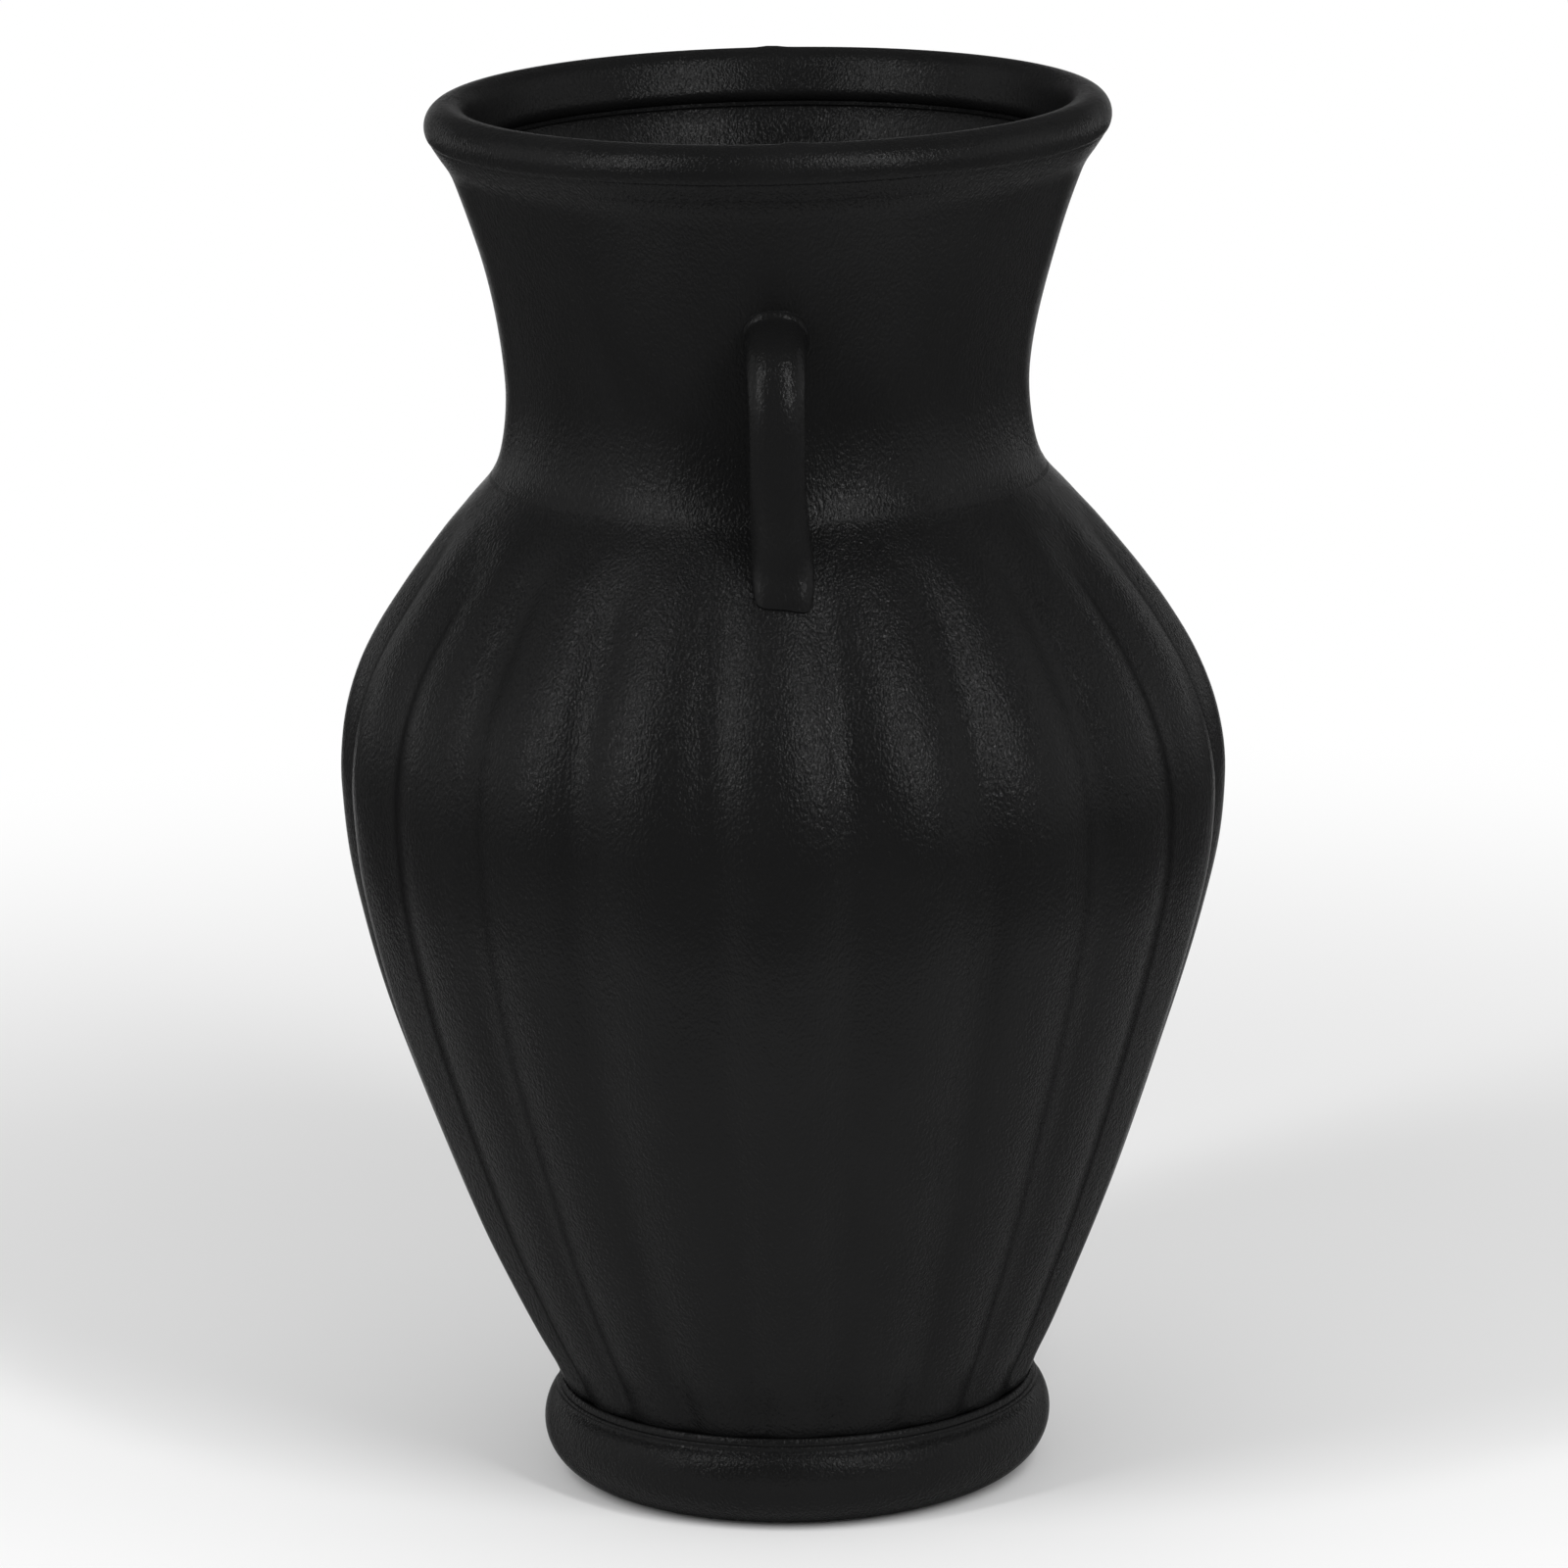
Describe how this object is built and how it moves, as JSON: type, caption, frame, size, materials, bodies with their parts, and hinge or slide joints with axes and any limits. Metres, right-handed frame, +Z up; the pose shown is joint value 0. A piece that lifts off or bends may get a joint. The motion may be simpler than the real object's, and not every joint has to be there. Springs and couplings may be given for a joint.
{
  "type": "two-handled lobed jar",
  "caption": "Decorative ceramic jar with a lobed belly on a round foot, a flared neck with a rolled rim and small strap handles, in matte black glaze.",
  "frame": {"origin": "middle of the ring that the jar stands on, on the floor", "axes": "+Z up along the jar's axis, -Y towards the front handle, +Y towards the back handle, +X to the right when the front handle is seen"},
  "size_m": [0.1896, 0.1896, 0.3005],
  "materials": {
    "black_glaze": "matte pebbled black glaze over fired clay",
    "joint_slip": "fired joining slip under the same matte black glaze"
  },
  "bodies": {
    "root": {"foot_ring": "black_glaze", "foot_joint_slip": "joint_slip", "belly": "black_glaze", "neck_joint_slip": "joint_slip", "neck_collar": "black_glaze", "rim_joint_slip": "joint_slip", "rim_ring": "black_glaze", "handle_front": "black_glaze", "handle_front_upper_slip": "joint_slip", "handle_front_lower_slip": "joint_slip", "handle_back": "black_glaze", "handle_back_upper_slip": "joint_slip", "handle_back_lower_slip": "joint_slip"}
  },
  "joints": []
}
